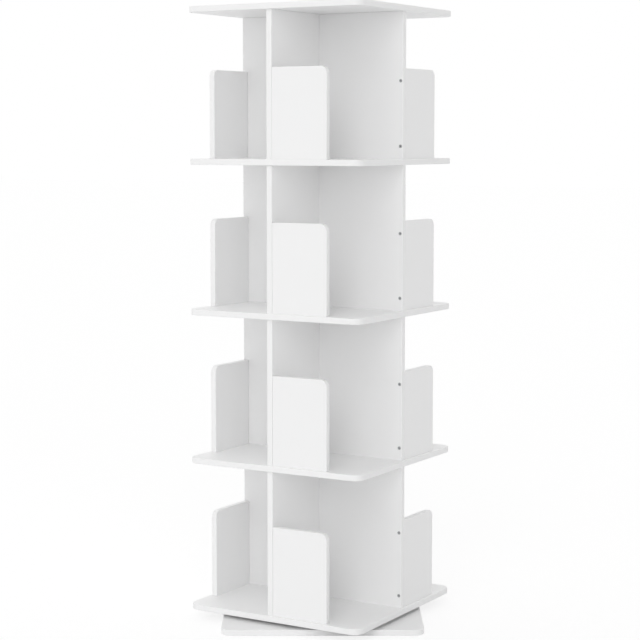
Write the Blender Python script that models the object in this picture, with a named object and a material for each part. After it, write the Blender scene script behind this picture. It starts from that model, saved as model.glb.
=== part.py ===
"""Revolving bookcase: tiers of open book bays that turn on a ball-bearing plate over a square base board.

Metres, +Z up. The origin is the centre of the base board's underside, on the axis that the case turns about.
The case lies square to X and Y. Its base board is turned under it, as the case was last left.
"""

import math

import bmesh
import bpy
from mathutils import Matrix

# Case
TIERS = 4
CLEAR_HEIGHT = 0.292
SEAT_GAP = 0.0003
EDGE_ROUND = 0.001

# Shelves, the bottom one and the top panel among them
SHELF_SIDE = 0.400
SHELF_THICKNESS = 0.012
SHELF_CORNER_RADIUS = 0.021

# Dividers
DIVIDER_THICKNESS = 0.012
DIVIDER_INSET = 0.006

# Book stops
STOP_LENGTH = 0.125
STOP_HEIGHT = 0.180
STOP_THICKNESS = 0.012
STOP_CORNER_RADIUS = 0.014

# Dowels between the shelves and the dividers
DOWEL_DIAMETER = 0.006
DOWEL_BITE = 0.010
DOWEL_INSET = 0.040
BLIND_BITE_SHARE = 2 / 3

# Countersunk screws, in the book stops and under the base board
SCREW_DIAMETER = 0.004
SCREW_HEAD_DIAMETER = 0.007
SCREW_HEAD_SINK = 0.0002
STOP_SCREW_BITE = 0.025
STOP_SCREW_MARGIN = 0.025

# Base board
BASE_SIDE = 0.405
BASE_THICKNESS = 0.012
BASE_CORNER_RADIUS = 0.021
BASE_TURN = math.radians(31)

# Turntable plates, pressed from steel sheet
SHEET = 0.001
RACE_RADIUS = 0.060
BEAD_WIDTH = 0.008
PLATE_RIM = 0.007
PLATE_CORNER_RADIUS = 0.010
PLATE_HOLE_INSET = 0.011
INNER_FLANGE_WIDTH = 0.009
COLLAR_RUNNING_GAP = 0.0008
COLLAR_LIP = 0.005
COLLAR_HEAD_ROOM = 0.0009

# Balls and their cage
BALL_DIAMETER = 0.004
BALL_CLEARANCE = 0.0003
BALL_COUNT = 18
CAGE_THICKNESS = 0.0008
CAGE_RIM = 0.002
CAGE_CLEARANCE = 0.0007

# Pan-head screws that hold the upper plate to the bottom shelf
PAN_HEAD_DIAMETER = 0.008
PAN_HEAD_HEIGHT = 0.0022
PAN_BITE_SHARE = 2 / 3

# How the shapes are cut and how finely they are faceted
CUT_OVERRUN = 0.002
WELD_DISTANCE = 0.000003
CORNER_STEPS = 6
RACE_STEPS = 40
DOWEL_STEPS = 6
SCREW_STEPS = 8
BALL_STEPS = 4
BEAD_STEPS = 4
DOME_STEPS = 3
SHARP_ANGLE = math.radians(30)

# Heights and places that follow from these
BALL_SPACE = BALL_DIAMETER + 2 * BALL_CLEARANCE
TURNTABLE_HEIGHT = 2 * (SEAT_GAP + SHEET) + BALL_SPACE
BOTTOM_SHELF_LEVEL = BASE_THICKNESS + TURNTABLE_HEIGHT
TIER_HEIGHT = CLEAR_HEIGHT + SHELF_THICKNESS
DIVIDER_REACH = SHELF_SIDE / 2 - DIVIDER_INSET
DIVIDER_HEIGHT = CLEAR_HEIGHT - 2 * SEAT_GAP
DOWEL_PLACES = (DOWEL_INSET, DIVIDER_REACH - DOWEL_INSET)
BLIND_BITE = SHELF_THICKNESS * BLIND_BITE_SHARE
BEAD_HEIGHT = (BALL_SPACE - CAGE_THICKNESS) / 2 - CAGE_CLEARANCE
INNER_FLANGE_DROP = SHEET + BALL_CLEARANCE + COLLAR_HEAD_ROOM
PLATE_SIDE = 2 * (RACE_RADIUS + BEAD_WIDTH + PLATE_RIM)
PLATE_HOLE_PLACE = PLATE_SIDE / 2 - PLATE_HOLE_INSET
LOWER_SHEET_LEVEL = BASE_THICKNESS + SEAT_GAP
UPPER_SHEET_LEVEL = BOTTOM_SHELF_LEVEL - SEAT_GAP - SHEET
BALL_LEVEL = LOWER_SHEET_LEVEL + SHEET + BALL_SPACE / 2
COLLAR_RADIUS = RACE_RADIUS - BEAD_WIDTH - INNER_FLANGE_WIDTH - COLLAR_RUNNING_GAP
PAN_BITE = SHELF_THICKNESS * PAN_BITE_SHARE
PAN_SEAT_LEVEL = UPPER_SHEET_LEVEL - SEAT_GAP

# The divider on the side with no turn lies along +X, and the others follow it round
SIDES = {"right": 0, "back": 1, "left": 2, "front": 3}
STAND_ALONG_X = Matrix(((1, 0, 0, 0), (0, 0, -1, 0), (0, 1, 0, 0), (0, 0, 0, 1)))
STAND_ALONG_Y = Matrix(((0, 0, 1, 0), (1, 0, 0, 0), (0, 1, 0, 0), (0, 0, 0, 1)))
Z_TO_Y = Matrix.Rotation(-math.pi / 2, 4, "X")


def clear_scene():
    for old in list(bpy.data.objects):
        bpy.data.objects.remove(old, do_unlink=True)


def finish(name, colour, roughness, metallic=0.0):
    """A plain Principled material."""
    material = bpy.data.materials.new(name)
    material.use_nodes = True
    shader = material.node_tree.nodes["Principled BSDF"]
    shader.inputs["Base Color"].default_value = (*colour, 1)
    shader.inputs["Roughness"].default_value = roughness
    shader.inputs["Metallic"].default_value = metallic
    return material


def moved(x=0.0, y=0.0, z=0.0):
    return Matrix.Translation((x, y, z))


def outline(width, height, radii):
    """Points anticlockwise round a rectangle from (0, 0), with a radius for each corner."""
    quarter = math.pi / 2
    corners = ((0, 0, math.pi), (width, 0, -quarter), (width, height, 0), (0, height, quarter))
    points = []
    for (x, y, start), radius in zip(corners, radii):
        if not radius:
            points.append((x, y))
            continue
        centre_x = x + math.copysign(radius, width / 2 - x)
        centre_y = y + math.copysign(radius, height / 2 - y)
        for step in range(CORNER_STEPS + 1):
            angle = start + quarter * step / CORNER_STEPS
            points.append((centre_x + radius * math.cos(angle), centre_y + radius * math.sin(angle)))
    return points


def add_board(shape, points, thickness, edge_round, place):
    """A flat board of that outline, with its sharp edges eased, added to a bmesh."""
    board = bmesh.new()
    face = board.faces.new([board.verts.new((x, y, 0)) for x, y in points])
    grown = bmesh.ops.extrude_face_region(board, geom=[face])["geom"]
    lifted = [item for item in grown if isinstance(item, bmesh.types.BMVert)]
    bmesh.ops.translate(board, verts=lifted, vec=(0, 0, thickness))
    bmesh.ops.recalc_face_normals(board, faces=board.faces)
    if edge_round:
        sharp = [edge for edge in board.edges if edge.calc_face_angle() > SHARP_ANGLE]
        bmesh.ops.bevel(board, geom=sharp, offset=edge_round, segments=1, affect="EDGES")
    add_shape(shape, board, place)


def add_turned(shape, profile, steps, place, closed=False):
    """A (radius, height) profile turned about Z: a ring where it is closed, else it ends on the axis."""
    turned = bmesh.new()
    points = [turned.verts.new((radius, 0, height)) for radius, height in profile]
    pairs = list(zip(points, points[1:]))
    if closed:
        pairs.append((points[-1], points[0]))
    edges = [turned.edges.new(pair) for pair in pairs]
    spun = {"cent": (0, 0, 0), "axis": (0, 0, 1), "angle": 2 * math.pi, "steps": steps, "use_merge": True}
    bmesh.ops.spin(turned, geom=points + edges, **spun)
    bmesh.ops.remove_doubles(turned, verts=turned.verts, dist=WELD_DISTANCE)
    bmesh.ops.recalc_face_normals(turned, faces=turned.faces)
    add_shape(shape, turned, place)


def add_shape(shape, other, place):
    """Moves one bmesh into another, at its place."""
    other.transform(place)
    mesh = bpy.data.meshes.new("shape")
    other.to_mesh(mesh)
    other.free()
    shape.from_mesh(mesh)
    bpy.data.meshes.remove(mesh)


def mesh_of(name, shape):
    mesh = bpy.data.meshes.new(name)
    shape.to_mesh(mesh)
    shape.free()
    return mesh


def combined(name, blank, **steps):
    """The blank after Boolean steps, each with one bmesh and a name that starts with join, cut or keep."""
    operations = {"join": "UNION", "cut": "DIFFERENCE", "keep": "INTERSECT"}
    body = bpy.data.objects.new(name, mesh_of(name, blank))
    bpy.context.collection.objects.link(body)
    tools = []
    for step, shape in steps.items():
        tool = bpy.data.objects.new(step, mesh_of(step, shape))
        bpy.context.collection.objects.link(tool)
        tool.hide_render = True
        tool.display_type = "WIRE"
        modifier = body.modifiers.new(step, "BOOLEAN")
        modifier.operation = operations[step.split("_")[0]]
        modifier.object = tool
        tools.append(tool)
    graph = bpy.context.evaluated_depsgraph_get()
    mesh = bpy.data.meshes.new_from_object(body.evaluated_get(graph))
    mesh.name = name
    for used in (body, *tools):
        bpy.data.objects.remove(used, do_unlink=True)
    return mesh


def smooth(mesh):
    mesh.shade_smooth()
    mesh.set_sharp_from_angle(angle=SHARP_ANGLE)


# Shapes that cut or join


def round_bar(radius, low, high):
    """The profile of a plain round bar."""
    return [(0, low), (radius, low), (radius, high), (0, high)]


def countersunk(length):
    """The profile of a countersunk screw, with its head's face at zero and its shank upwards."""
    shank, head = SCREW_DIAMETER / 2, SCREW_HEAD_DIAMETER / 2
    return [(0, 0), (head, 0), (shank, head - shank), (shank, length), (0, length)]


def countersink(depth):
    """The profile of the hole for that screw, open at both ends."""
    shank, head = SCREW_DIAMETER / 2 + SEAT_GAP, SCREW_HEAD_DIAMETER / 2 + SEAT_GAP
    cone = [(head, SCREW_HEAD_SINK), (shank, SCREW_HEAD_SINK + head - shank)]
    return [(0, -CUT_OVERRUN), (head, -CUT_OVERRUN), *cone, (shank, depth), (0, depth)]


def side_turn(side):
    return SIDES[side] * math.pi / 2


def dowels(low, high):
    """The dowels of the divider along +X, between two heights."""
    bars = bmesh.new()
    for place in DOWEL_PLACES:
        spot = moved(place, -DIVIDER_THICKNESS / 2)
        add_turned(bars, round_bar(DOWEL_DIAMETER / 2, low, high), DOWEL_STEPS, spot)
    return bars


def dowel_holes(low, high, sides):
    """The holes for the dowels of the dividers on these sides, between two heights."""
    holes = bmesh.new()
    bar = round_bar(DOWEL_DIAMETER / 2 + SEAT_GAP, low, high)
    for side in sides:
        for place in DOWEL_PLACES:
            spot = Matrix.Rotation(side_turn(side), 4, "Z") @ moved(place, -DIVIDER_THICKNESS / 2)
            add_turned(holes, bar, DOWEL_STEPS, spot)
    return holes


# Boards


def square_board(side, thickness, corner_radius):
    board = bmesh.new()
    points = outline(side, side, [corner_radius] * 4)
    add_board(board, points, thickness, EDGE_ROUND, moved(-side / 2, -side / 2))
    return board


def shelf_board():
    return square_board(SHELF_SIDE, SHELF_THICKNESS, SHELF_CORNER_RADIUS)


def bottom_shelf_mesh():
    """The bottom shelf: blind dowel holes on top, and pilot holes for the plate's screws underneath."""
    pilots = bmesh.new()
    hole = round_bar(SCREW_DIAMETER / 2 + SEAT_GAP, -CUT_OVERRUN, PAN_BITE + SEAT_GAP)
    for x, y in corners_of(PLATE_HOLE_PLACE):
        add_turned(pilots, hole, SCREW_STEPS, moved(x, y))
    seats = dowel_holes(SHELF_THICKNESS - BLIND_BITE - SEAT_GAP, SHELF_THICKNESS + CUT_OVERRUN, SIDES)
    return combined("bottom_shelf", shelf_board(), cut=pilots, cut_above=seats)


def middle_shelf_mesh():
    """A shelf with holes that the dowels of the dividers under it pass through."""
    holes = dowel_holes(-CUT_OVERRUN, SHELF_THICKNESS + CUT_OVERRUN, SIDES)
    return combined("shelf", shelf_board(), cut=holes)


def top_panel_mesh():
    """The top panel, with blind dowel holes underneath and a whole upper face."""
    holes = dowel_holes(-CUT_OVERRUN, BLIND_BITE + SEAT_GAP, SIDES)
    return combined("top_panel", shelf_board(), cut=holes)


def divider_mesh(reach_up, reach_down=0.0):
    """The divider along +X, with dowels up into its shelf, dowels down or their holes, and screw holes."""
    blank, screw_holes = bmesh.new(), bmesh.new()
    points = outline(DIVIDER_REACH - SEAT_GAP, DIVIDER_HEIGHT, [0] * 4)
    add_board(blank, points, DIVIDER_THICKNESS, EDGE_ROUND, moved(SEAT_GAP, 0, SEAT_GAP) @ STAND_ALONG_X)
    for height in stop_screw_heights():
        spot = moved(DIVIDER_REACH - STOP_THICKNESS / 2, -DIVIDER_THICKNESS, height) @ Z_TO_Y
        add_turned(screw_holes, countersink(DIVIDER_THICKNESS + CUT_OVERRUN), SCREW_STEPS, spot)
    top = SEAT_GAP + DIVIDER_HEIGHT
    steps = {"join": dowels(top - DOWEL_BITE, top + reach_up), "cut": screw_holes}
    if reach_down:
        steps["join_below"] = dowels(SEAT_GAP - reach_down, SEAT_GAP + DOWEL_BITE)
    else:
        steps["cut_below"] = dowel_holes(-CUT_OVERRUN, SEAT_GAP + DOWEL_BITE + SEAT_GAP, ["right"])
    return combined("divider", blank, **steps)


def stop_screw_heights():
    return STOP_SCREW_MARGIN, STOP_HEIGHT - STOP_SCREW_MARGIN


def book_stop_mesh():
    """The book stop on the divider along +X, with its free upper corner rounded and its two screws."""
    blank, screws = bmesh.new(), bmesh.new()
    points = outline(STOP_LENGTH - SEAT_GAP, STOP_HEIGHT - SEAT_GAP, [0, 0, STOP_CORNER_RADIUS, 0])
    place = moved(DIVIDER_REACH - STOP_THICKNESS, SEAT_GAP, SEAT_GAP) @ STAND_ALONG_Y
    add_board(blank, points, STOP_THICKNESS, EDGE_ROUND, place)
    length = DIVIDER_THICKNESS - SCREW_HEAD_SINK + SEAT_GAP + STOP_SCREW_BITE
    for height in stop_screw_heights():
        head = moved(DIVIDER_REACH - STOP_THICKNESS / 2, SCREW_HEAD_SINK - DIVIDER_THICKNESS, height)
        add_turned(screws, countersunk(length), SCREW_STEPS, head @ Z_TO_Y)
    return combined("book_stop", blank, join=screws)


# Base board and turntable


def corners_of(place):
    return [(x, y) for x in (-place, place) for y in (-place, place)]


def base_board_mesh():
    """The base board, countersunk from below for the screws that hold the turntable."""
    holes = bmesh.new()
    for x, y in corners_of(PLATE_HOLE_PLACE):
        add_turned(holes, countersink(BASE_THICKNESS + CUT_OVERRUN), SCREW_STEPS, moved(x, y))
    return combined("base_board", square_board(BASE_SIDE, BASE_THICKNESS, BASE_CORNER_RADIUS), cut=holes)


def bead_offsets(low, high):
    """Offsets from the ball path, from one share of the bead width to another."""
    count = round((high - low) * BEAD_STEPS)
    return [BEAD_WIDTH * (low + (high - low) * step / count) for step in range(count + 1)]


def bead_height(offset):
    """How far the sheet is pressed at an offset from the ball path: a valley between two beads."""
    return BEAD_HEIGHT * (1 - math.cos(2 * math.pi * offset / BEAD_WIDTH)) / 2


def flange_drop(offset):
    """The slope from the upper plate's inner bead down to its inner flange."""
    share = (-offset / BEAD_WIDTH - 1 / 2) * 2
    return BEAD_HEIGHT + (INNER_FLANGE_DROP - BEAD_HEIGHT) * (1 - math.cos(math.pi * share)) / 2


def sheet_profile(line):
    """A closed profile, one sheet thick, on a line of (radius, height) points that runs outwards."""
    return [(radius, height + SHEET) for radius, height in line] + line[::-1]


def plate_mesh(name, profile):
    """A turned sheet trimmed to a square with rounded corners, with its four screw holes."""
    sheet, trim, holes = bmesh.new(), bmesh.new(), bmesh.new()
    add_turned(sheet, profile, RACE_STEPS, moved(), closed=True)
    corner = moved(-PLATE_SIDE / 2, -PLATE_SIDE / 2, -TURNTABLE_HEIGHT)
    square = outline(PLATE_SIDE, PLATE_SIDE, [PLATE_CORNER_RADIUS] * 4)
    add_board(trim, square, 2 * TURNTABLE_HEIGHT, 0, corner)
    hole = round_bar(SCREW_DIAMETER / 2 + SEAT_GAP, -CUT_OVERRUN, SHEET + CUT_OVERRUN)
    for x, y in corners_of(PLATE_HOLE_PLACE):
        add_turned(holes, hole, SCREW_STEPS, moved(x, y))
    mesh = combined(name, sheet, keep=trim, cut=holes)
    smooth(mesh)
    return mesh


def lower_plate_mesh():
    """The lower plate: its ball race, and a centre collar rolled out over the upper plate's inner flange."""
    race = [(RACE_RADIUS + offset, bead_height(offset)) for offset in bead_offsets(-1, 1)]
    flange_top = SHEET + BALL_SPACE - INNER_FLANGE_DROP + SHEET
    lip_low = flange_top + BALL_CLEARANCE
    bore, rim = COLLAR_RADIUS - SHEET, COLLAR_RADIUS + COLLAR_LIP
    collar = [
        (bore, 0),
        (bore, lip_low + SHEET),
        (rim, lip_low + SHEET),
        (rim, lip_low),
        (COLLAR_RADIUS, lip_low),
        (COLLAR_RADIUS, SHEET),
    ]
    return plate_mesh("lower_plate", sheet_profile(race + [(PLATE_SIDE, 0)]) + collar)


def upper_plate_mesh():
    """The upper plate: the same race facing down, and an inner flange that runs under the collar's lip."""
    flange = [(COLLAR_RADIUS + COLLAR_RUNNING_GAP, -INNER_FLANGE_DROP)]
    slope = [(RACE_RADIUS + offset, -flange_drop(offset)) for offset in bead_offsets(-1, -1 / 2)]
    race = [(RACE_RADIUS + offset, -bead_height(offset)) for offset in bead_offsets(-1 / 2, 1)]
    return plate_mesh("upper_plate", sheet_profile(flange + slope + race[1:] + [(PLATE_SIDE, 0)]))


def ball_profile():
    """Half a circle from the ball's lowest point to its highest."""
    radius, angles = BALL_DIAMETER / 2, [math.pi * step / BALL_STEPS for step in range(BALL_STEPS + 1)]
    return [(radius * math.sin(angle), -radius * math.cos(angle)) for angle in angles]


def ball_cage_mesh():
    """The flat ring that spaces the balls, with the balls in it."""
    ring, balls = bmesh.new(), bmesh.new()
    reach, half = BALL_DIAMETER / 2 + CAGE_RIM, CAGE_THICKNESS / 2
    inner, outer = RACE_RADIUS - reach, RACE_RADIUS + reach
    section = [(inner, -half), (outer, -half), (outer, half), (inner, half)]
    add_turned(ring, section, RACE_STEPS, moved(), closed=True)
    for number in range(BALL_COUNT):
        spot = Matrix.Rotation(2 * math.pi * number / BALL_COUNT, 4, "Z") @ moved(RACE_RADIUS)
        add_turned(balls, ball_profile(), 2 * BALL_STEPS, spot)
    mesh = combined("ball_cage", ring, join=balls)
    smooth(mesh)
    return mesh


def base_screw_mesh():
    """A countersunk machine screw, from the base board's underside to the lower plate's upper face."""
    screw = bmesh.new()
    length = BASE_THICKNESS - SCREW_HEAD_SINK + SEAT_GAP + SHEET
    add_turned(screw, countersunk(length), SCREW_STEPS, moved())
    mesh = mesh_of("base_screw", screw)
    smooth(mesh)
    return mesh


def plate_screw_mesh():
    """A pan-head screw that stands on its domed head, from under the upper plate into the bottom shelf."""
    screw = bmesh.new()
    radius, length = PAN_HEAD_DIAMETER / 2, SEAT_GAP + SHEET + SEAT_GAP + PAN_BITE
    dome = []
    for step in range(DOME_STEPS + 1):
        angle = math.pi / 2 * step / DOME_STEPS
        dome.append((radius * math.sin(angle), -PAN_HEAD_HEIGHT * math.cos(angle)))
    shank = [(SCREW_DIAMETER / 2, 0), (SCREW_DIAMETER / 2, length), (0, length)]
    add_turned(screw, dome + shank, SCREW_STEPS, moved())
    mesh = mesh_of("plate_screw", screw)
    smooth(mesh)
    return mesh


# Assembly


def put(name, mesh, material, axis, place=(0, 0, 0), turn=0):
    """An object at its place from the empty on the axis that it turns about."""
    if not mesh.materials:
        mesh.materials.append(material)
    piece = bpy.data.objects.new(name, mesh)
    bpy.context.collection.objects.link(piece)
    piece.parent = axis
    piece.location = place
    piece.rotation_euler.z = turn
    return piece


def axis_empty(name, turn=0):
    axis = bpy.data.objects.new(name, None)
    bpy.context.collection.objects.link(axis)
    axis.rotation_euler.z = turn
    return axis


def put_base(axis):
    put("base_board", base_board_mesh(), white_board, axis)
    put("turntable_lower_plate", lower_plate_mesh(), pressed_steel, axis, (0, 0, LOWER_SHEET_LEVEL))
    screw = base_screw_mesh()
    for number, (x, y) in enumerate(corners_of(PLATE_HOLE_PLACE), 1):
        put(f"base_screw_{number}", screw, zinc, axis, (x, y, SCREW_HEAD_SINK))


def put_case(axis):
    put("turntable_upper_plate", upper_plate_mesh(), pressed_steel, axis, (0, 0, UPPER_SHEET_LEVEL))
    screw = plate_screw_mesh()
    for number, (x, y) in enumerate(corners_of(PLATE_HOLE_PLACE), 1):
        put(f"plate_screw_{number}", screw, zinc, axis, (x, y, PAN_SEAT_LEVEL))
    put("bottom_shelf", bottom_shelf_mesh(), white_board, axis, (0, 0, BOTTOM_SHELF_LEVEL))
    shelf = middle_shelf_mesh()
    for tier in range(1, TIERS):
        put(f"shelf_{tier + 1}", shelf, white_board, axis, (0, 0, BOTTOM_SHELF_LEVEL + tier * TIER_HEIGHT))
    put("top_panel", top_panel_mesh(), white_board, axis, (0, 0, BOTTOM_SHELF_LEVEL + TIERS * TIER_HEIGHT))
    put_tiers(axis)


def put_tiers(axis):
    """The pinwheel of dividers and book stops on each shelf."""
    blind, through = SEAT_GAP + BLIND_BITE, SEAT_GAP + SHELF_THICKNESS + SEAT_GAP + DOWEL_BITE
    dividers = [divider_mesh(through, blind), *[divider_mesh(through)] * (TIERS - 2), divider_mesh(blind)]
    stop = book_stop_mesh()
    for tier, divider in enumerate(dividers):
        floor = (0, 0, BOTTOM_SHELF_LEVEL + SHELF_THICKNESS + tier * TIER_HEIGHT)
        for side in SIDES:
            put(f"divider_{tier + 1}_{side}", divider, white_board, axis, floor, side_turn(side))
            put(f"book_stop_{tier + 1}_{side}", stop, white_board, axis, floor, side_turn(side))


clear_scene()
white_board = finish("white_board", (0.87, 0.87, 0.865), 0.45)
pressed_steel = finish("pressed_steel", (0.62, 0.63, 0.64), 0.35, 1.0)
zinc = finish("zinc_plated_screw", (0.66, 0.66, 0.67), 0.3, 1.0)
cage_brass = finish("cage_brass", (0.72, 0.56, 0.28), 0.4, 1.0)
put_base(axis_empty("base_axis", BASE_TURN))
put("ball_cage", ball_cage_mesh(), cage_brass, axis_empty("cage_axis"), (0, 0, BALL_LEVEL))
put_case(axis_empty("case_axis"))
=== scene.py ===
"""Revolving bookcase: white lacquered boards round a ball-bearing turntable, in a plain white studio.

Lengths are in metres. A grain's size is that of its blots.
"""

import math

import bpy
import numpy as np
from mathutils import Matrix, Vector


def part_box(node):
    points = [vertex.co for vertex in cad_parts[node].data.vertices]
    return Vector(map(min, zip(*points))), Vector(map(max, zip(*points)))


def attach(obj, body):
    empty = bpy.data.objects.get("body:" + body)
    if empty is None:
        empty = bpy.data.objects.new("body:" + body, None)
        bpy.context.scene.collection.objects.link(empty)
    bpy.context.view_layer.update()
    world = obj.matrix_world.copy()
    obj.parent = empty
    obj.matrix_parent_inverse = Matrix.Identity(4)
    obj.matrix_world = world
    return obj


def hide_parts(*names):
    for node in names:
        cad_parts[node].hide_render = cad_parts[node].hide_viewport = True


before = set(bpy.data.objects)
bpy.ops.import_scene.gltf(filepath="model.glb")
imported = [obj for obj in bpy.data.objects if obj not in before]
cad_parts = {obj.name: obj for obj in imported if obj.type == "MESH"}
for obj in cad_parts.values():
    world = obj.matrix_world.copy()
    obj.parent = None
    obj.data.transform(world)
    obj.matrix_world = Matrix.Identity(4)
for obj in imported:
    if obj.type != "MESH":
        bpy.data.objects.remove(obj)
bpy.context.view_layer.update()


# Base board
# A square of 12 mm fibreboard that lies flat on the floor, turned under the case as the case was last left.
# It is sprayed with white satin lacquer, over edges that are eased by hand and wear a little smoother.
# Four countersunk holes underneath take the screws that hold the turntable.


class Tone:
    """A shader socket with a value on it: arithmetic adds Math nodes, and add() makes any other node."""

    def __init__(self, tree, socket=None):
        self.tree, self.socket = tree, socket

    def add(self, kind, settings=None, inputs=None, output=0):
        """A new node of that kind, with its settings, then the values or tones of its inputs."""
        node = self.tree.nodes.new(kind)
        for name, value in (settings or {}).items():
            setattr(node, name, value)
        for name, value in (inputs or {}).items():
            if isinstance(value, Tone):
                self.tree.links.new(value.socket, node.inputs[name])
            else:
                node.inputs[name].default_value = value
        return Tone(self.tree, node.outputs[output])

    def maths(self, operation, first, second):
        return self.add("ShaderNodeMath", {"operation": operation}, {0: first, 1: second})

    def __add__(self, other):
        return self.maths("ADD", self, other)

    def __radd__(self, other):
        return self.maths("ADD", other, self)

    def __sub__(self, other):
        return self.maths("SUBTRACT", self, other)

    def __rsub__(self, other):
        return self.maths("SUBTRACT", other, self)

    def __mul__(self, other):
        return self.maths("MULTIPLY", self, other)

    def __rmul__(self, other):
        return self.maths("MULTIPLY", other, self)

    def mixed(self, colour, other):
        """One colour where this tone is 0, the other where it is 1. A colour may be a tone itself."""
        first, second = (shade if isinstance(shade, Tone) else (*shade, 1) for shade in (colour, other))
        colours = {"Factor": self, "A": first, "B": second}
        return self.add("ShaderNodeMix", {"data_type": "RGBA"}, colours, output="Result")

    def grain(self, size, detail=2.0, place=None):
        """Noise between 0 and 1 whose blots are about that size, in the piece's own coordinates."""
        inputs = {"Vector": place or self.place(), "Scale": 1 / size, "Detail": detail, "Roughness": 0.5}
        return self.add("ShaderNodeTexNoise", inputs=inputs, output="Fac")

    def place(self, stretch=(1, 1, 1)):
        """The piece's own coordinates, each times a stretch, so that grains run finer along that axis."""
        spot = self.add("ShaderNodeTexCoord", output="Object")
        return self.add("ShaderNodeMapping", inputs={"Vector": spot, "Scale": stretch})

    def share(self, name):
        """A value from 0 to 1 that the mesh carries, such as how far a point lies round an eased edge."""
        return self.add("ShaderNodeAttribute", {"attribute_name": name}, output="Fac")

    def bump(self, height, strength, distance):
        inputs = {"Strength": strength, "Distance": distance, "Height": height}
        return self.add("ShaderNodeBump", inputs=inputs, output="Normal")

    def feeds(self, node, name):
        self.tree.links.new(self.socket, node.inputs[name])


def new_finish(name):
    """A material with a Principled shader, its tree's tone to start expressions from, and the shader."""
    material = bpy.data.materials.new(name)
    material.use_nodes = True
    return material, Tone(material.node_tree), material.node_tree.nodes["Principled BSDF"]


LACQUER_WHITE = (0.92, 0.92, 0.921)
LACQUER_SHADE = (0.905, 0.905, 0.905)
LACQUER_DRIFT = 0.22
LACQUER_PEEL = 0.0016
LACQUER_PILE = 0.0005
LACQUER_RUB = 0.012


def white_lacquer():
    """Satin white lacquer: near-white with a faint drift, fine orange peel, and edges rubbed smoother."""
    material, tone, shader = new_finish("white_lacquer")
    drift = tone.grain(LACQUER_DRIFT, detail=3)
    peel = tone.grain(LACQUER_PEEL)
    pile = tone.grain(LACQUER_PILE, detail=1)
    rub = tone.grain(LACQUER_RUB, detail=4)
    eased, edge = tone.share("eased_share"), tone.share("edge_share")
    shade = drift * 0.5 + edge * rub * 0.5
    colour = shade.mixed(LACQUER_WHITE, LACQUER_SHADE)
    roughness = 0.36 + 0.08 * peel + 0.05 * edge - 0.12 * eased * rub
    skin = peel * (1 - 0.5 * eased) + 0.25 * pile
    colour.feeds(shader, "Base Color")
    roughness.feeds(shader, "Roughness")
    tone.bump(skin, strength=0.12, distance=0.0001).feeds(shader, "Normal")
    shader.inputs["Specular IOR Level"].default_value = 0.4
    return material


EASE = 0.0012
EASE_STEPS = 6
RIM = 0.0005
CORNER_STEPS = 14
LEAST_RADIUS = 0.0002
CORNERS = np.array([(-1, -1), (1, -1), (1, 1), (-1, 1)])


def outline(width, height, radii, insets):
    """Points round a rectangle about its centre, with its sides moved inwards and a radius at each corner.

    The insets are those of the left, bottom, right and top sides. A corner's arc is its centre plus
    its radius times (cos a, sin a), for a over a quarter turn, and the insets come off the radius.
    """
    insets = np.array(insets, float).reshape(2, 2)[(CORNERS + 1) // 2, [0, 1]]
    radii = np.maximum(np.array(radii, float)[:, None] - insets, LEAST_RADIUS)[:, None]
    centres = CORNERS[:, None] * (np.array([width, height]) / 2 - insets[:, None] - radii)
    return (centres + radii * quarter_turns()).reshape(-1, 2)


def quarter_turns():
    """(cos a, sin a) at each step of each corner's quarter turn."""
    angles = np.radians([180, 270, 0, 90])[:, None] + np.linspace(0, np.pi / 2, CORNER_STEPS + 1)
    return np.stack([np.cos(angles), np.sin(angles)], axis=-1)


def closed_mesh(name, points, shares=None, ring=False):
    """A mesh on a (rings, steps, 3) array of points, each ring a closed loop.

    Flat faces close its first and last rings, unless it is a ring itself and those two are joined.
    """
    rings, steps = points.shape[:2]
    index = np.arange(rings * steps).reshape(rings, steps)
    last = len(index) if ring else -1
    ahead = np.roll(index, -1, axis=1)
    above, above_ahead = np.roll(index, -1, axis=0), np.roll(ahead, -1, axis=0)
    corners = [side[:last] for side in (index, ahead, above_ahead, above)]
    quads = np.stack(corners, axis=-1).reshape(-1, 4)
    caps = [] if ring else [index[0, ::-1].tolist(), index[-1].tolist()]
    mesh = bpy.data.meshes.new(name)
    mesh.from_pydata(points.reshape(-1, 3), [], [*quads.tolist(), *caps])
    mesh.polygons.foreach_set("use_smooth", [True] * len(quads) + [False] * len(caps))
    for share, values in (shares or {}).items():
        layer = mesh.attributes.new(share, "FLOAT", "POINT")
        values = np.asarray(values, float)
        layer.data.foreach_set("value", np.broadcast_to(values.reshape(rings, -1), (rings, steps)).ravel())
    mesh.update()
    return mesh


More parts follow.
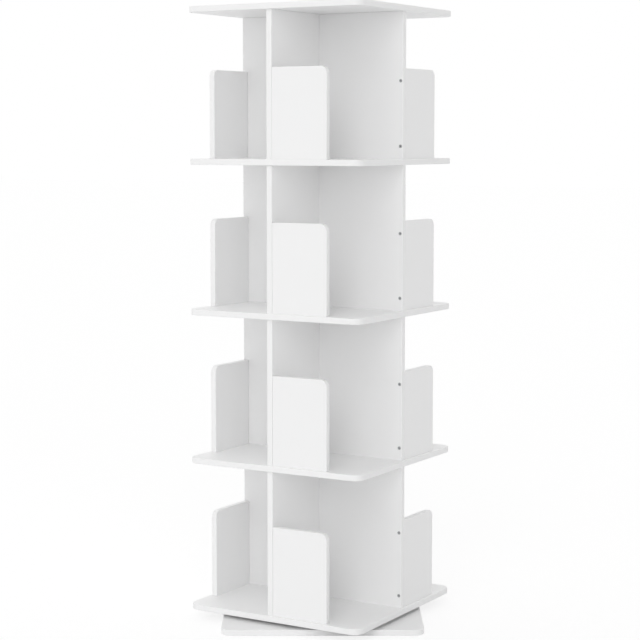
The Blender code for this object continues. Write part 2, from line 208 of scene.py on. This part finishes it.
def board(width, height, thickness, radii, eases=(EASE,) * 4):
    """A flat board from z = 0 up to its thickness, centred on the z axis, with its edges eased.

    The eases are those of the left, bottom, right and top sides. Each ring is the outline at an inset
    and a level: for t over a quarter turn, inset = ease (1 - sin t) and level = ease (1 - cos t).
    Round a corner one side's ease turns into the next one's, by cos squared and sin squared.
    A rim just inside the ease keeps the flats flat.
    """
    turn = np.linspace(0, np.pi / 2, EASE_STEPS + 1)
    insets = np.concatenate([[1], 1 - np.sin(turn), [0]])
    levels = np.concatenate([[0], 1 - np.cos(turn), [1]])
    rims = np.concatenate([[RIM], 0 * turn, [0]])
    eased = np.concatenate([[0], np.sin(2 * turn), [0]])
    edge = np.concatenate([[0], np.sin(turn) ** 2, [1]])
    around_corners = np.array(eases).reshape(2, 2)[(CORNERS + 1) // 2, [0, 1]]
    ease = (quarter_turns() ** 2 * around_corners[:, None]).sum(axis=-1).ravel()
    insets = insets[:, None] * eases + rims[:, None]
    rings = [outline(width, height, radii, inset) for inset in insets]
    heights = levels[:, None] * ease + rims[::-1, None]
    lower = np.concatenate([rings, heights[..., None]], axis=-1)
    upper = lower[::-1] * (1, 1, -1) + (0, 0, thickness)
    shares = {"eased_share": np.append(eased, eased[::-1]), "edge_share": np.append(edge, edge[::-1])}
    return closed_mesh("board", np.concatenate([lower, upper]), shares)


SCREW_RADIUS = 0.002
SCREW_HEAD_RADIUS = 0.0035
SCREW_SINK = 0.0002
SCREW_CLEARANCE = 0.0002
OVERRUN = 0.002
DRILL_STEPS = 48
SHARP_ANGLE = math.radians(35)


def turned(profile, steps):
    """A (radius, height) profile turned about z: each ring is radius times (cos a, sin a) at its height."""
    radii, heights = np.array(profile).T[:, :, None]
    angles = np.linspace(0, 2 * np.pi, steps, endpoint=False)
    flat = np.zeros(steps)
    return np.stack([radii * np.cos(angles), radii * np.sin(angles), heights + flat], axis=-1)


def countersink(depth):
    """The drill for a countersunk screw whose head faces down at z = 0: a cone, then a shank."""
    head, shank = SCREW_HEAD_RADIUS + SCREW_CLEARANCE, SCREW_RADIUS + SCREW_CLEARANCE
    profile = [(head, -OVERRUN), (head, SCREW_SINK), (shank, SCREW_SINK + head - shank), (shank, depth)]
    return closed_mesh("drill", turned(profile, DRILL_STEPS))


def drilled(blank, drill, places):
    """The mesh with that drill taken out of it at each place."""
    work = bpy.data.objects.new("blank", blank)
    bits = [bpy.data.objects.new("bit", drill) for place in places]
    for bit, place in zip(bits, places):
        bit.matrix_world = place
        cut = work.modifiers.new("cut", "BOOLEAN")
        cut.solver, cut.operation, cut.object = "EXACT", "DIFFERENCE", bit
    for item in (work, *bits):
        bpy.context.collection.objects.link(item)
    mesh = bpy.data.meshes.new_from_object(work.evaluated_get(bpy.context.evaluated_depsgraph_get()))
    for item in (work, *bits):
        bpy.data.objects.remove(item)
    return mesh


def add_piece(name, mesh, place, material, body, node):
    """Add a finished piece, moved to its place in its mesh: it rides on a body and stands for a CAD node."""
    mesh = mesh.copy()
    mesh.name = name
    mesh.transform(place)
    mesh.set_sharp_from_angle(angle=SHARP_ANGLE)
    mesh.materials.clear()
    mesh.materials.append(material)
    piece = bpy.data.objects.new(name, mesh)
    bpy.context.collection.objects.link(piece)
    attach(piece, body)
    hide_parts(node)


def middle(node):
    """The middle of a CAD node's box."""
    low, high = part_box(node)
    return (low + high) / 2


BASE_TURN = math.radians(31)
BOARD_CORNER_RADIUS = 0.021

lacquer = white_lacquer()
base_low, base_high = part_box("base_board")
across = Matrix.Rotation(BASE_TURN, 3, "Z").col[0]
base_side = 2 * max(vertex.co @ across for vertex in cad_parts["base_board"].data.vertices)
base_board = board(base_side, base_side, base_high.z - base_low.z, [BOARD_CORNER_RADIUS] * 4)
fixings = [middle(f"base_screw_{number}") for number in (1, 2, 3, 4)]
turn_back = Matrix.Rotation(-BASE_TURN, 4, "Z")
holes = [turn_back @ Matrix.Translation((spot.x, spot.y, 0)) for spot in fixings]
base_board = drilled(base_board, countersink(base_high.z + OVERRUN), holes)
place = Matrix.Translation((0, 0, base_low.z)) @ Matrix.Rotation(BASE_TURN, 4, "Z")
add_piece("base", base_board, place, lacquer, "base", "base_board")


# Turntable plates
# Two squares of steel sheet, pressed with a ring valley for the balls to run in and plated with zinc.
# The lower plate's collar is rolled out over the upper plate's inner flange, which keeps them together.

SHEET = 0.001
RACE_RADIUS = 0.060
BEAD_WIDTH = 0.008
BEAD_HEIGHT = 0.0012
BEAD_STEPS = 20
PLATE_RADIUS = 0.010
PLATE_STEPS = 288
PLATE_EDGE = 0.0003
INNER_FLANGE_DROP = 0.0022
COLLAR_RADIUS = 0.0422
COLLAR_LIP = 0.005
COLLAR_RUNNING_GAP = 0.0008

SHEET_DARK = (0.44, 0.45, 0.47)
SHEET_BRIGHT = (0.58, 0.59, 0.60)
SPANGLES_PER_METRE = 160.0
SHEET_HAZE = 0.03
ROLLING_LINES = 0.004
LINE_STRETCH = (1, 12, 1)


def pressed_steel():
    """Zinc-plated sheet: a grey metal with a faint spangle, fine rolling lines and rubbed edges."""
    material, tone, shader = new_finish("pressed_steel")
    crystals = {"Vector": tone.place(), "Scale": SPANGLES_PER_METRE}
    crystals = tone.add("ShaderNodeTexVoronoi", inputs=crystals, output="Color")
    spangle = tone.add("ShaderNodeSeparateColor", inputs={"Color": crystals}, output="Red")
    rolled = tone.grain(ROLLING_LINES, detail=4, place=tone.place(LINE_STRETCH))
    haze = tone.grain(SHEET_HAZE, detail=3)
    shade = 0.45 * spangle + 0.3 * haze + 0.25 * rolled
    colour = shade.mixed(SHEET_DARK, SHEET_BRIGHT)
    roughness = 0.30 + 0.14 * haze + 0.10 * rolled - 0.10 * tone.share("edge_share")
    colour.feeds(shader, "Base Color")
    roughness.feeds(shader, "Roughness")
    tone.bump(rolled + 0.4 * spangle, strength=0.15, distance=0.0001).feeds(shader, "Normal")
    shader.inputs["Metallic"].default_value = 1.0
    return material


def valley(low, high):
    """(offset, pressed height) across the ball path, from low to high bead widths off it.

    The pressed height is the bead's height times (1 - cos(2 pi offset / width)) / 2.
    """
    offsets = BEAD_WIDTH * np.linspace(low, high, round((high - low) * BEAD_STEPS) + 1)
    return np.column_stack([offsets, BEAD_HEIGHT * (1 - np.cos(2 * np.pi * offsets / BEAD_WIDTH)) / 2])


def plate_reach(half, angles):
    """How far a square with rounded corners reaches from its centre at each angle.

    Along a side it is half over the larger of |cos| and |sin|. In a corner, whose circle stands at (c, c),
    it is c (|cos| + |sin|) + sqrt(radius squared - c squared (|sin| - |cos|) squared).
    """
    small, large = np.sort(np.abs([np.cos(angles), np.sin(angles)]), axis=0)
    c = half - PLATE_RADIUS
    root = np.sqrt(np.maximum(PLATE_RADIUS**2 - (c * (large - small)) ** 2, 0))
    return np.where(half * small / large > c, c * (small + large) + root, half / large)


def pressed_plate(half, line, inner):
    """A sheet trimmed to the square: a ring whose section runs out along the line, round the edge and back.

    The line holds (radius, height) of the sheet's underside, and the inner points close the section.
    The edge's own points are measured from the square's reach at each angle.
    """
    angles = np.linspace(0, 2 * np.pi, PLATE_STEPS, endpoint=False)
    bend = PLATE_EDGE * np.array([(-3, 0), (-1, 0), (0, 1)])
    edge = [*bend, *(bend[::-1] * (1, -1) + (0, SHEET))]
    section = np.array([*line, *edge, *(line[::-1] + (0, SHEET)), *inner])
    outer = np.zeros((len(section), 1))
    outer[len(line) : len(line) + len(edge)] = 1
    radius = section[:, :1] + outer * plate_reach(half, angles)
    heights = section[:, 1:] + 0 * angles
    points = np.stack([radius * np.cos(angles), radius * np.sin(angles), heights], axis=-1)
    return closed_mesh("plate", points, {"edge_share": outer}, ring=True)


def screw_hole(depth):
    """A plain drill of the screws' width, from below z = 0 to a depth."""
    profile = [(SCREW_RADIUS + SCREW_CLEARANCE, -OVERRUN), (SCREW_RADIUS + SCREW_CLEARANCE, depth)]
    return closed_mesh("drill", turned(profile, DRILL_STEPS))


steel = pressed_steel()
low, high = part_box("turntable_lower_plate")
plate_half, top = high.x, high.z - low.z
bore, lip, bend = COLLAR_RADIUS - SHEET, COLLAR_RADIUS + COLLAR_LIP, SHEET / 2
collar = [
    (COLLAR_RADIUS + bend, SHEET),
    (COLLAR_RADIUS, SHEET + bend),
    (COLLAR_RADIUS, top - SHEET),
    (lip, top - SHEET),
    (lip, top),
    (bore + 2 * bend, top),
    (bore + bend / 2, top - bend / 2),
    (bore, top - 2 * bend),
    (bore, bend),
    (bore + bend / 2, 0),
]
corner_spots = [Matrix.Translation((spot.x, spot.y, 0)) for spot in fixings]
line = valley(-1, 1) + (RACE_RADIUS, 0)
lower_plate = drilled(pressed_plate(plate_half, line, collar), screw_hole(SHEET + OVERRUN), corner_spots)
place = Matrix.Translation((0, 0, low.z))
add_piece("lower_plate", lower_plate, place, steel, "base", "turntable_lower_plate")

# The upper plate lies the other way up. Inwards of the ball path its sheet drops on, to the inner flange,
# by the cosine of its share of the way there.
slope = valley(-1, -0.5)
share = -2 * slope[:, 0] / BEAD_WIDTH - 1
slope[:, 1] = BEAD_HEIGHT + (INNER_FLANGE_DROP - BEAD_HEIGHT) * (1 - np.cos(np.pi * share)) / 2
line = np.concatenate([slope, valley(-0.5, 1)[1:]]) * (1, -1) + (RACE_RADIUS, 0)
line = np.concatenate([[(COLLAR_RADIUS + COLLAR_RUNNING_GAP, -INNER_FLANGE_DROP)], line])
upper_plate = drilled(pressed_plate(plate_half, line, []), screw_hole(SHEET + OVERRUN), corner_spots)
place = Matrix.Translation((0, 0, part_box("turntable_upper_plate")[1].z - SHEET))
add_piece("upper_plate", upper_plate, place, steel, "case", "turntable_upper_plate")


# Ball cage
# Eighteen steel balls, each in its own hole of a flat brass ring that keeps them apart in the race.
# The cage lies loose between the plates and goes round at half the speed of the case.

BALL_RADIUS = 0.002
BALL_COUNT = 18
BALL_STEPS = 28
CAGE_RIM = 0.002
CAGE_THICKNESS = 0.0008
CAGE_EDGE = 0.0001
BALL_PLAY = 0.0001
POLE_ANGLE = 0.02

BRASS = (0.80, 0.62, 0.30)
TARNISHED_BRASS = (0.52, 0.38, 0.17)
TARNISH = 0.012
STRIP_LINES = 0.0006
BALL_STEEL = (0.60, 0.61, 0.63)
OILED_STEEL = (0.50, 0.50, 0.50)
BALL_SCUFFS = 0.0004
OIL_FILM = 0.002


def rolled_brass():
    """Stamped brass strip: warm metal with fine rolling lines, a drift of tarnish and bright cut edges."""
    material, tone, shader = new_finish("rolled_brass")
    tarnish = tone.grain(TARNISH, detail=4)
    rolled = tone.grain(STRIP_LINES)
    worn = tone.share("edge_share")
    shade = 0.7 * tarnish + 0.3 * rolled - 0.3 * worn
    shade.mixed(BRASS, TARNISHED_BRASS).feeds(shader, "Base Color")
    (0.24 + 0.18 * tarnish + 0.08 * rolled - 0.06 * worn).feeds(shader, "Roughness")
    tone.bump(rolled, strength=0.1, distance=0.00005).feeds(shader, "Normal")
    shader.inputs["Metallic"].default_value = 1.0
    return material


def ground_steel():
    """Ground and oiled ball steel: a near mirror with faint scuffs and a film of oil in patches."""
    material, tone, shader = new_finish("ground_steel")
    scuff = tone.grain(BALL_SCUFFS, detail=3)
    film = tone.grain(OIL_FILM)
    (film * 0.8 + scuff * 0.2).mixed(BALL_STEEL, OILED_STEEL).feeds(shader, "Base Color")
    (0.08 + 0.10 * film + 0.05 * scuff).feeds(shader, "Roughness")
    tone.bump(scuff, strength=0.05, distance=0.00002).feeds(shader, "Normal")
    shader.inputs["Metallic"].default_value = 1.0
    return material


def around(count):
    """Turns about z, evenly spaced."""
    return [Matrix.Rotation(2 * math.pi * number / count, 4, "Z") for number in range(count)]


low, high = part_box("ball_cage")
ball_level = (low.z + high.z) / 2
half_width, half_sheet = BALL_RADIUS + CAGE_RIM, CAGE_THICKNESS / 2
corner = np.array([(half_width - CAGE_EDGE, -half_sheet), (half_width, CAGE_EDGE - half_sheet)])
side = np.concatenate([corner, corner[::-1] * (1, -1)])
section = np.concatenate([side, side[::-1] * (-1, 1)]) + (RACE_RADIUS, 0)
cut_edges = np.tile([0.5, 1, 1, 0.5], 2)
cage_ring = closed_mesh("cage", turned(section, PLATE_STEPS), {"edge_share": cut_edges}, ring=True)
pocket = [(BALL_RADIUS + BALL_PLAY, -OVERRUN), (BALL_RADIUS + BALL_PLAY, OVERRUN)]
pocket = closed_mesh("drill", turned(pocket, DRILL_STEPS))
ball_spots = [turn @ Matrix.Translation((RACE_RADIUS, 0, 0)) for turn in around(BALL_COUNT)]
half_step = Matrix.Rotation(math.pi / DRILL_STEPS, 4, "Z")
cage_ring = drilled(cage_ring, pocket, [spot @ half_step for spot in ball_spots])
level = Matrix.Translation((0, 0, ball_level))
add_piece("ball_cage_ring", cage_ring, level, rolled_brass(), "cage", "ball_cage")

bow = np.linspace(POLE_ANGLE, np.pi - POLE_ANGLE, BALL_STEPS // 2)
ball = closed_mesh("ball", turned(BALL_RADIUS * np.column_stack([np.sin(bow), -np.cos(bow)]), BALL_STEPS))
ball_steel = ground_steel()
for number, spot in enumerate(ball_spots, 1):
    add_piece(f"ball_{number}", ball, level @ spot, ball_steel, "cage", "ball_cage")


# Screws of the turntable
# Zinc-plated cross-head screws: four machine screws come up through the base board into the lower plate,
# and four pan-head screws go up through the upper plate's corners into the bottom shelf.

SCREW_STEPS = 48
HEAD_RINGS = 14
HEAD_EDGE = 0.0001
BLUNT_TIP = SCREW_RADIUS / 8
PAN_HEAD_RADIUS = 0.004
PAN_HEAD_HEIGHT = 0.0022
PAN_HEAD_POLE = 0.03
CROSS_REACH = 0.0020
CROSS_WIDTH = 0.0011
CROSS_DEPTH = 0.0013
CROSS_FLANK = 0.00035
CROSS_FULLNESS = 1.3

ZINC_DARK = (0.45, 0.46, 0.47)
ZINC_BRIGHT = (0.56, 0.57, 0.58)
# Painted shade: a near-black grey that stands in for the shade inside the cross recess.
PAINTED_RECESS_SHADE = (0.18, 0.18, 0.18)
ZINC_CLOUDS = 0.0015
ZINC_SCUFFS = 0.0003


def zinc_plate():
    """Zinc plating on a turned screw: a clouded grey metal, matt inside the cross, with painted shade
    darkening the cross.
    """
    material, tone, shader = new_finish("zinc_plate")
    cloud = tone.grain(ZINC_CLOUDS, detail=3)
    scuff = tone.grain(ZINC_SCUFFS)
    recess = tone.share("recess_share")
    bright = (0.7 * cloud + 0.3 * scuff).mixed(ZINC_DARK, ZINC_BRIGHT)
    # Painted shade: the cross is mixed towards the dark grey by how deep it is sunk at each point.
    (recess * 0.85).mixed(bright, PAINTED_RECESS_SHADE).feeds(shader, "Base Color")
    (0.28 + 0.14 * cloud + 0.08 * scuff + 0.2 * recess).feeds(shader, "Roughness")
    tone.bump(scuff, strength=0.15, distance=0.00004).feeds(shader, "Normal")
    shader.inputs["Metallic"].default_value = 1.0
    return material


def cross_depth(x, y):
    """How deep the cross recess is, as a share: two crossed slots with sloping flanks and shallow ends.

    Along a slot u and across it v, the share is clip((width / 2 - |v|) / flank)
    times clip(fullness (1 - (u / reach) squared)), both clipped from 0 to 1.
    """

    def slot(u, v):
        flank = np.clip((CROSS_WIDTH / 2 - np.abs(v)) / CROSS_FLANK, 0, 1)
        return flank * np.clip(CROSS_FULLNESS * (1 - (u / CROSS_REACH) ** 2), 0, 1)

    return np.maximum(slot(x, y), slot(y, x))


def screw(head, shank):
    """A turned screw whose head faces down at z = 0, with the cross recess sunk into the head's rings."""
    head = np.array(head)
    points = turned([*head, *shank], SCREW_STEPS)
    sunk = cross_depth(points[..., 0], points[..., 1])
    sunk[len(head) :] = 0
    points[..., 2] += CROSS_DEPTH * sunk
    return closed_mesh("screw", points, {"recess_share": sunk})


def countersunk(length, tip=0.0):
    """A flat head and the cone under it, then a shank that ends flat or tapers over its tip."""
    radii = np.linspace(HEAD_EDGE, SCREW_HEAD_RADIUS - HEAD_EDGE, HEAD_RINGS)
    flat = np.column_stack([radii, np.zeros(HEAD_RINGS)])
    cone_end = HEAD_EDGE + SCREW_HEAD_RADIUS - SCREW_RADIUS
    cone = [(SCREW_HEAD_RADIUS, HEAD_EDGE), (SCREW_RADIUS, cone_end)]
    end = [(SCREW_RADIUS, length - tip), (BLUNT_TIP if tip else SCREW_RADIUS - HEAD_EDGE, length)]
    return screw(flat, cone + end)


zinc = zinc_plate()
low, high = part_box("base_screw_1")
machine_screw = countersunk(high.z - low.z)
for number, spot in enumerate(fixings, 1):
    name = f"base_screw_{number}"
    place = Matrix.Translation((spot.x, spot.y, low.z))
    add_piece(f"{name}_zinc", machine_screw, place, zinc, "base", name)

low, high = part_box("plate_screw_1")
bow = np.linspace(PAN_HEAD_POLE, np.pi / 2, HEAD_RINGS)
dome = np.column_stack([PAN_HEAD_RADIUS * np.sin(bow), -PAN_HEAD_HEIGHT * np.cos(bow)])
pan_shank = high.z - low.z - PAN_HEAD_HEIGHT
shank = [(SCREW_RADIUS, 0), (SCREW_RADIUS, pan_shank - SCREW_RADIUS), (BLUNT_TIP, pan_shank)]
pan_screw = screw(dome, shank)
for number, spot in enumerate(fixings, 1):
    name = f"plate_screw_{number}"
    place = Matrix.Translation((spot.x, spot.y, low.z + PAN_HEAD_HEIGHT))
    add_piece(f"{name}_zinc", pan_screw, place, zinc, "case", name)


# Shelves
# Five squares of the same board, one under each tier of bays and one on top, with the same rounded corners.
# The case is glued up from the bottom, so each shelf traps the dowels of the dividers that stand under it.

SHELVES = ("bottom_shelf", "shelf_2", "shelf_3", "shelf_4", "top_panel")

low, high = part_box("top_panel")
shelf = board(high.x - low.x, high.y - low.y, high.z - low.z, [BOARD_CORNER_RADIUS] * 4)
pilot = screw_hole(pan_shank + SCREW_CLEARANCE)
bottom_shelf = drilled(shelf.copy(), pilot, corner_spots)
for node in SHELVES:
    mesh = bottom_shelf if node == SHELVES[0] else shelf
    place = Matrix.Translation((0, 0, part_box(node)[0].z))
    add_piece(f"{node}_board", mesh, place, lacquer, "case", node)


# Dividers
# Four upright boards to a tier, set as a pinwheel: each one starts against the next one's face.
# Glued edges stay square and the free one is just broken. The foot stands tight on its shelf, and a fine line
# shows over the top. Two countersunk holes near the free edge take the screws of a book stop.

SIDES = ("right", "back", "left", "front")
SCREW_MARGIN = 0.025
GLUED_EDGE = 0.0001
BROKEN_EDGE = 0.0005
TOP_HAIRLINE = 0.0002
TIERS = range(1, len(SHELVES))

divider_low, divider_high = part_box("divider_1_right")
stop_low, stop_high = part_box("book_stop_1_right")
tier_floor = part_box(SHELVES[0])[1].z
tier_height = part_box(SHELVES[1])[0].z - tier_floor
length, thickness = divider_high.x, divider_high.y - divider_low.y
stop_middle = (stop_low.x + stop_high.x) / 2
stop_height = stop_high.z - tier_floor
into_stop = Matrix.Rotation(-math.pi / 2, 4, "X")
screw_spots = [
    Matrix.Translation((stop_middle, divider_low.y, height)) @ into_stop
    for height in (SCREW_MARGIN, stop_height - SCREW_MARGIN)
]

height = tier_height - TOP_HAIRLINE
divider_eases = (GLUED_EDGE, GLUED_EDGE, BROKEN_EDGE, GLUED_EDGE)
divider = board(length, height, thickness, [GLUED_EDGE] * 4, divider_eases)
stand_divider = Matrix.Translation((length / 2, divider_low.y, height / 2)) @ into_stop
holes = [stand_divider.inverted() @ spot for spot in screw_spots]
divider = drilled(divider, countersink(thickness + OVERRUN), holes)

bays = []
for tier in TIERS:
    floor = Matrix.Translation((0, 0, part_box(SHELVES[tier - 1])[1].z))
    for quarter, side in enumerate(SIDES):
        bays.append((f"{tier}_{side}", floor @ Matrix.Rotation(quarter * math.pi / 2, 4, "Z")))
for bay, place in bays:
    node = f"divider_{bay}"
    add_piece(f"{node}_board", divider, place @ stand_divider, lacquer, "case", node)


# Book stops
# A low board on the outer end of each divider, which keeps the last book from falling out.
# Its free upper corner is rounded. Two cross-head screws, sunk just below the divider's face, draw it up
# to the other face, dry, so that a hairline shows there.

STOP_CORNER_RADIUS = 0.014
HAIRLINE = 0.0005
SCREW_LENGTH = 0.0373
SCREW_TIP = 0.004

width, depth = stop_high.y - HAIRLINE, stop_high.x - stop_low.x
corner_radii = [GLUED_EDGE, EASE, STOP_CORNER_RADIUS, EASE]
stop = board(width, stop_height, depth, corner_radii, (BROKEN_EDGE, GLUED_EDGE, EASE, EASE))
width_along_y = Matrix(((0, 0, 1, 0), (1, 0, 0, 0), (0, 1, 0, 0), (0, 0, 0, 1)))
stand_stop = Matrix.Translation((stop_low.x, HAIRLINE + width / 2, stop_height / 2)) @ width_along_y
holes = [stand_stop.inverted() @ spot for spot in screw_spots]
stop = drilled(stop, screw_hole(SCREW_LENGTH + SCREW_CLEARANCE), holes)
sink = Matrix.Translation((0, 0, SCREW_SINK))
wood_screw = countersunk(SCREW_LENGTH - SCREW_SINK, SCREW_TIP)
for bay, place in bays:
    node = f"book_stop_{bay}"
    add_piece(f"{node}_board", stop, place @ stand_stop, lacquer, "case", node)
    for level, spot in zip(("low", "high"), screw_spots):
        name = f"{node}_screw_{level}"
        add_piece(name, wood_screw, place @ spot @ sink, zinc, "case", node)


# Studio
# A white floor and a white surround, which the camera and reflections see as plain white.
# The light is a soft sky, with a broad lamp beside the camera and a weaker one high above it.

FLOOR_SIDE = 60
SKY = 0.71
SKY_SLOPE = (-0.40, 0.26, 0)
FLOOR_SHADE = 0.95
FLOOR_ROUGHNESS = 0.8
FLOOR_GLOW = 1.035
FLOOR_GLOW_SHARE = 0.75
WHITE = (1, 1, 1)

# Each lamp's azimuth, elevation and breadth in degrees, and its strength.
LAMPS = {
    "front_lamp": (-58, 12, 50, 0.82),
    "high_lamp": (-70, 45, 40, 0.50),
}


def white_to_the_eye(tree):
    """A tone that is 1 for camera, glossy and transmission rays, and 0 for the rest."""
    path = tree.nodes.new("ShaderNodeLightPath")
    names = ("Is Camera Ray", "Is Glossy Ray", "Is Transmission Ray")
    camera, glossy, through = (Tone(tree, path.outputs[name]) for name in names)
    return camera.maths("MAXIMUM", camera.maths("MAXIMUM", camera, glossy), through)


world = bpy.data.worlds.new("studio")
bpy.context.scene.world = world
world.use_nodes = True
seen = white_to_the_eye(world.node_tree)
background = world.node_tree.nodes["Background"]
background.inputs["Color"].default_value = (*WHITE, 1)
heading = seen.add("ShaderNodeTexCoord", output="Generated")
slope = {0: heading, 1: SKY_SLOPE}
sky = SKY + seen.add("ShaderNodeVectorMath", {"operation": "DOT_PRODUCT"}, slope, output="Value")
(sky + (1 - sky) * seen).feeds(background, "Strength")

reach = FLOOR_SIDE / 2
corners = [(-reach, -reach, 0), (reach, -reach, 0), (reach, reach, 0), (-reach, reach, 0)]
floor_mesh = bpy.data.meshes.new("studio_floor")
floor_mesh.from_pydata(corners, [], [(0, 1, 2, 3)])
floor = bpy.data.objects.new("studio_floor", floor_mesh)
bpy.context.collection.objects.link(floor)
material, tone, shader = new_finish("studio_floor")
floor_mesh.materials.append(material)
seen = white_to_the_eye(material.node_tree)
seen.mixed([FLOOR_SHADE] * 3, WHITE).feeds(shader, "Base Color")
shader.inputs["Roughness"].default_value = FLOOR_ROUGHNESS
shader.inputs["Specular IOR Level"].default_value = 0.0
glow = tone.add("ShaderNodeEmission", inputs={"Color": (*WHITE, 1), "Strength": FLOOR_GLOW})
surfaces = {0: seen * FLOOR_GLOW_SHARE, 1: Tone(tone.tree, shader.outputs[0]), 2: glow}
output = material.node_tree.nodes["Material Output"]
tone.add("ShaderNodeMixShader", inputs=surfaces).feeds(output, "Surface")

for name, (azimuth, elevation, breadth, strength) in LAMPS.items():
    lamp = bpy.data.lights.new(name, "SUN")
    lamp.angle, lamp.energy = math.radians(breadth), strength
    holder = bpy.data.objects.new(name, lamp)
    bpy.context.collection.objects.link(holder)
    holder.rotation_euler = (math.radians(90 - elevation), 0, math.radians(azimuth + 90))


# Camera
# A long lens at a child's eye height, a little to the right of the front and tilted slightly down.
# The lens is shifted a little, because the photograph keeps the uprights nearly parallel.

CAMERA_TURN = math.radians(30.815)
CAMERA_DISTANCE = 3.662
CAMERA_SIDESTEP = -0.0047
EYE_HEIGHT = 0.985
CAMERA_DIP = math.radians(4.925)
LENS = 100.07
SENSOR_WIDTH = 36
LENS_SHIFT = -0.045

camera_data = bpy.data.cameras.new("camera")
camera_data.lens = LENS
camera_data.shift_y = LENS_SHIFT
camera_data.sensor_width = SENSOR_WIDTH
camera = bpy.data.objects.new("camera", camera_data)
bpy.context.collection.objects.link(camera)
bpy.context.scene.camera = camera
tripod = Matrix.Translation((CAMERA_SIDESTEP, -CAMERA_DISTANCE, EYE_HEIGHT))
tilt = Matrix.Rotation(math.pi / 2 - CAMERA_DIP, 4, "X")
camera.matrix_world = Matrix.Rotation(CAMERA_TURN, 4, "Z") @ tripod @ tilt

bpy.context.scene.view_settings.view_transform = "Standard"
